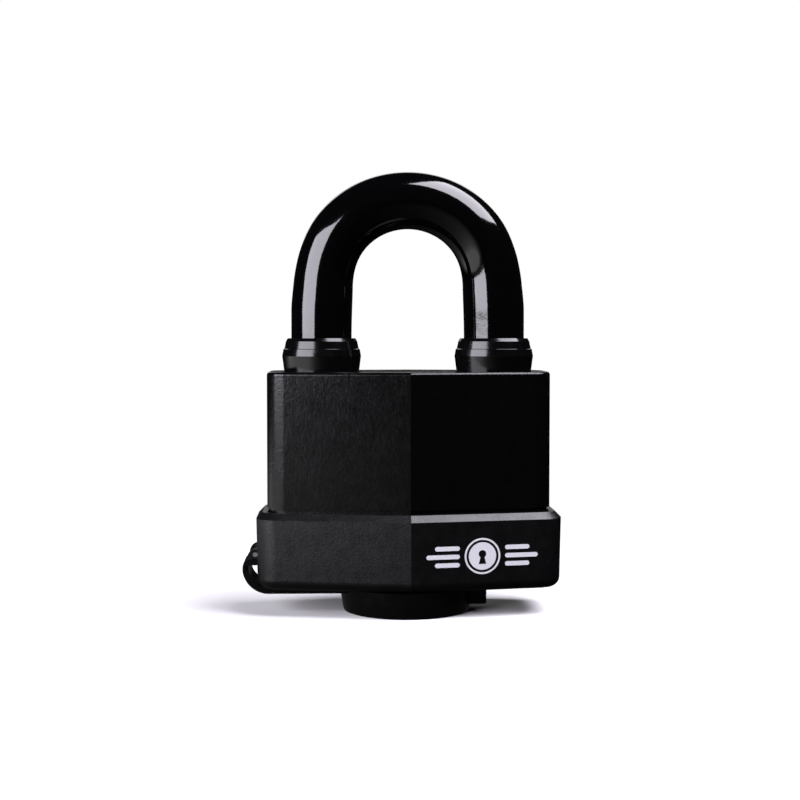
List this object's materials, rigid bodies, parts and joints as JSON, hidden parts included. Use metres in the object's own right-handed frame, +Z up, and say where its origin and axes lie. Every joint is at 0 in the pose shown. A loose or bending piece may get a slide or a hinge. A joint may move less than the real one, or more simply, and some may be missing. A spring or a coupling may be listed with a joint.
{
  "type": "padlock",
  "caption": "Covered laminated padlock: coated U-shackle, ridged weatherproof jacket and lower cover, shackle seals, and a tethered cap over the keyway.",
  "frame": {"origin": "on the plug's axis, level with the keyway cap's flat bottom, which the lock stands on", "axes": "+X across the width from the tethered heel side to the toe side, +Y from the front facets to the back, +Z up towards the shackle"},
  "size_m": [0.0607, 0.0284, 0.0843],
  "materials": {
    "black_polymer": "satin moulded",
    "gloss_coat": "gloss",
    "black_rubber": "semi-gloss",
    "plate_steel": "brushed",
    "hardened_steel": "ground",
    "rivet_steel": "plain",
    "spring_steel": "drawn",
    "brass": "satin"
  },
  "bodies": {
    "lock_body": {"lower_cover": "black_polymer", "tether_pin": "rivet_steel", "jacket": "black_polymer", "heel_seal": "black_rubber", "toe_seal": "black_rubber", "plate_01": "plate_steel", "plate_02": "plate_steel", "plate_03": "plate_steel", "plate_04": "plate_steel", "plate_05": "plate_steel", "plate_06": "plate_steel", "plate_07": "plate_steel", "plate_08": "plate_steel", "plate_09": "plate_steel", "plate_10": "plate_steel", "plate_11": "plate_steel", "plate_12": "plate_steel", "plate_13": "plate_steel", "plate_14": "plate_steel", "plate_15": "plate_steel", "plate_16": "plate_steel", "plate_17": "plate_steel", "rivets": "rivet_steel", "cylinder_shell": "brass", "spring_cover": "brass", "driver_pin_1": "brass", "driver_pin_2": "brass", "driver_pin_3": "brass", "driver_pin_4": "brass", "driver_pin_5": "brass", "pin_spring_1": "spring_steel", "pin_spring_2": "spring_steel", "pin_spring_3": "spring_steel", "pin_spring_4": "spring_steel", "pin_spring_5": "spring_steel", "shackle_spring": "spring_steel"},
    "shackle": {"shackle_core": "hardened_steel", "shackle_coat": "gloss_coat"},
    "key_plug": {"plug": "brass", "cam": "hardened_steel", "key_pin_1": "brass", "key_pin_2": "brass", "key_pin_3": "brass", "key_pin_4": "brass", "key_pin_5": "brass"},
    "toe_ball_body": {"toe_ball": "hardened_steel"},
    "heel_ball_body": {"heel_ball": "hardened_steel"},
    "cap_body": {"keyway_cap": "black_rubber"}
  },
  "joints": [
    {"name": "shackle_lift", "type": "slide", "parent": "lock_body", "child": "shackle", "axis": [0, 0, 1], "range_m": [0, 0.02], "deforming": ["shackle_spring"]},
    {"name": "plug_turn", "type": "hinge", "parent": "lock_body", "child": "key_plug", "pos_m": [0, 0, 0.0073], "axis": [0, 0, 1], "range_deg": [0, 90]},
    {"name": "toe_ball_slide", "type": "slide", "parent": "lock_body", "child": "toe_ball_body", "axis": [1, 0, 0], "range_m": [0, 0.00147]},
    {"name": "heel_ball_slide", "type": "slide", "parent": "lock_body", "child": "heel_ball_body", "axis": [-1, 0, 0], "range_m": [0, 0.00067]},
    {"name": "cap_swing", "type": "hinge", "parent": "lock_body", "child": "cap_body", "pos_m": [-0.0293, 0, 0.0114], "axis": [0, 1, 0], "range_deg": [0, 100]}
  ],
  "couplings": [
    {"joint": "toe_ball_slide", "follows": "plug_turn", "m_per_rad": 0.00093583},
    {"joint": "heel_ball_slide", "follows": "plug_turn", "m_per_rad": 0.00042654}
  ]
}
